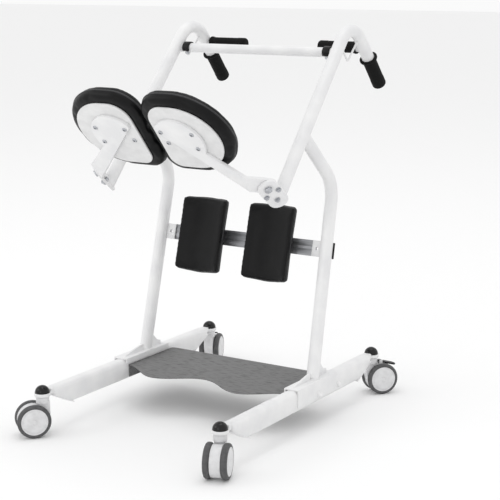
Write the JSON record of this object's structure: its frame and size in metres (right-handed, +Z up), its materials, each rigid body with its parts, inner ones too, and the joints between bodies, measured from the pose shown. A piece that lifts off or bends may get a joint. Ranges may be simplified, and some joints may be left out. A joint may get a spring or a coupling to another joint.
{
  "type": "sit to stand lift",
  "caption": "Castered patient transfer aid with a footplate between its legs, leaning side frames with grips, knee pads, and a seat in padded halves that swing open on pivots.",
  "frame": {"origin": "on the floor under the middle of the lift", "axes": "+Z up, -Y the side where the patient steps in, +Y the side of the carer, +X the right-hand side as the patient faces the carer"},
  "size_m": [0.7756, 1.0384, 1.1707],
  "materials": {
    "white_powder_coat": "satin powder coat, slightly pebbled",
    "grey_grip_coating": "matt anti-slip coating",
    "black_foam_rubber": "matt foam rubber",
    "black_vinyl": "vinyl coated fabric over foam, satin",
    "black_plastic": "moulded, gloss",
    "grey_tyre_rubber": "matt",
    "light_grey_plastic": "moulded, satin",
    "zinc_plated_steel": "bright zinc plate"
  },
  "bodies": {
    "frame": {"left_leg": "white_powder_coat", "right_leg": "white_powder_coat", "left_saddle": "white_powder_coat", "right_saddle": "white_powder_coat", "left_upright": "white_powder_coat", "right_upright": "white_powder_coat", "left_arm": "white_powder_coat", "right_arm": "white_powder_coat", "footplate": "grey_grip_coating", "crossbar": "white_powder_coat", "left_crossbar_clip": "black_plastic", "right_crossbar_clip": "black_plastic", "left_handle_grip": "black_foam_rubber", "right_handle_grip": "black_foam_rubber", "left_inner_grip": "black_foam_rubber", "right_inner_grip": "black_foam_rubber", "left_sling_hook": "white_powder_coat", "right_sling_hook": "white_powder_coat", "knee_bar": "zinc_plated_steel", "left_knee_tab": "white_powder_coat", "right_knee_tab": "white_powder_coat", "left_knee_pad": "black_vinyl", "right_knee_pad": "black_vinyl", "left_knee_pad_shell": "black_plastic", "right_knee_pad_shell": "black_plastic", "left_hinge_plate": "white_powder_coat", "right_hinge_plate": "white_powder_coat", "left_pivot_bolt": "zinc_plated_steel", "right_pivot_bolt": "zinc_plated_steel", "front_left_dome_cap": "black_plastic", "front_right_dome_cap": "black_plastic", "rear_left_dome_cap": "black_plastic", "rear_right_dome_cap": "black_plastic"},
    "front_left_caster": {"front_left_caster_hood": "light_grey_plastic", "front_left_axle": "zinc_plated_steel"},
    "front_left_wheel_a": {"front_left_wheel_a": "grey_tyre_rubber"},
    "front_left_wheel_b": {"front_left_wheel_b": "grey_tyre_rubber"},
    "front_right_caster": {"front_right_caster_hood": "light_grey_plastic", "front_right_axle": "zinc_plated_steel"},
    "front_right_wheel_a": {"front_right_wheel_a": "grey_tyre_rubber"},
    "front_right_wheel_b": {"front_right_wheel_b": "grey_tyre_rubber"},
    "rear_left_caster": {"rear_left_caster_hood": "light_grey_plastic", "rear_left_axle": "zinc_plated_steel"},
    "rear_left_wheel_a": {"rear_left_wheel_a": "grey_tyre_rubber"},
    "rear_left_wheel_b": {"rear_left_wheel_b": "grey_tyre_rubber"},
    "rear_left_brake": {"rear_left_brake_pedal": "black_plastic"},
    "rear_right_caster": {"rear_right_caster_hood": "light_grey_plastic", "rear_right_axle": "zinc_plated_steel"},
    "rear_right_wheel_a": {"rear_right_wheel_a": "grey_tyre_rubber"},
    "rear_right_wheel_b": {"rear_right_wheel_b": "grey_tyre_rubber"},
    "rear_right_brake": {"rear_right_brake_pedal": "black_plastic"},
    "right_seat": {"right_seat_arm": "white_powder_coat", "right_seat_board": "light_grey_plastic", "right_seat_cushion": "black_vinyl"},
    "left_seat": {"left_seat_arm": "white_powder_coat", "left_seat_board": "light_grey_plastic", "left_seat_cushion": "black_vinyl"}
  },
  "joints": [
    {"name": "front_left_swivel", "type": "hinge", "parent": "frame", "child": "front_left_caster", "pos_m": [-0.3125, -0.433, 0.122], "axis": [0, 0, 1], "continuous": true},
    {"name": "front_left_wheel_a_spin", "type": "hinge", "parent": "front_left_caster", "child": "front_left_wheel_a", "pos_m": [-0.3319, -0.45588, 0.05], "axis": [0.7627, -0.6468, 0], "continuous": true},
    {"name": "front_left_wheel_b_spin", "type": "hinge", "parent": "front_left_caster", "child": "front_left_wheel_b", "pos_m": [-0.3319, -0.45588, 0.05], "axis": [0.7627, -0.6468, 0], "continuous": true},
    {"name": "front_right_swivel", "type": "hinge", "parent": "frame", "child": "front_right_caster", "pos_m": [0.3125, -0.433, 0.122], "axis": [0, 0, 1], "continuous": true},
    {"name": "front_right_wheel_a_spin", "type": "hinge", "parent": "front_right_caster", "child": "front_right_wheel_a", "pos_m": [0.3231, -0.46106, 0.05], "axis": [0.9354, 0.3535, 0], "continuous": true},
    {"name": "front_right_wheel_b_spin", "type": "hinge", "parent": "front_right_caster", "child": "front_right_wheel_b", "pos_m": [0.3231, -0.46106, 0.05], "axis": [0.9354, 0.3535, 0], "continuous": true},
    {"name": "rear_left_swivel", "type": "hinge", "parent": "frame", "child": "rear_left_caster", "pos_m": [-0.3125, 0.433, 0.122], "axis": [0, 0, 1], "continuous": true},
    {"name": "rear_left_wheel_a_spin", "type": "hinge", "parent": "rear_left_caster", "child": "rear_left_wheel_a", "pos_m": [-0.3231, 0.46106, 0.05], "axis": [-0.9354, -0.3535, 0], "continuous": true},
    {"name": "rear_left_wheel_b_spin", "type": "hinge", "parent": "rear_left_caster", "child": "rear_left_wheel_b", "pos_m": [-0.3231, 0.46106, 0.05], "axis": [-0.9354, -0.3535, 0], "continuous": true},
    {"name": "rear_left_brake_press", "type": "hinge", "parent": "rear_left_caster", "child": "rear_left_brake", "pos_m": [-0.3231, 0.46106, 0.1025], "axis": [-0.9354, -0.3535, 0], "range_deg": [0, 10]},
    {"name": "rear_right_swivel", "type": "hinge", "parent": "frame", "child": "rear_right_caster", "pos_m": [0.3125, 0.433, 0.122], "axis": [0, 0, 1], "continuous": true},
    {"name": "rear_right_wheel_a_spin", "type": "hinge", "parent": "rear_right_caster", "child": "rear_right_wheel_a", "pos_m": [0.3319, 0.45588, 0.05], "axis": [-0.7627, 0.6468, 0], "continuous": true},
    {"name": "rear_right_wheel_b_spin", "type": "hinge", "parent": "rear_right_caster", "child": "rear_right_wheel_b", "pos_m": [0.3319, 0.45588, 0.05], "axis": [-0.7627, 0.6468, 0], "continuous": true},
    {"name": "rear_right_brake_press", "type": "hinge", "parent": "rear_right_caster", "child": "rear_right_brake", "pos_m": [0.3319, 0.45588, 0.1025], "axis": [-0.7627, 0.6468, 0], "range_deg": [0, 10]},
    {"name": "right_seat_swing", "type": "hinge", "parent": "frame", "child": "right_seat", "pos_m": [0.29178, -0.15975, 0.7506], "axis": [-0.6557, 0.4835, 0.5799], "range_deg": [0, 100]},
    {"name": "left_seat_swing", "type": "hinge", "parent": "frame", "child": "left_seat", "pos_m": [-0.29178, -0.15975, 0.7506], "axis": [-0.6557, -0.4835, -0.5799], "range_deg": [0, 100]}
  ]
}
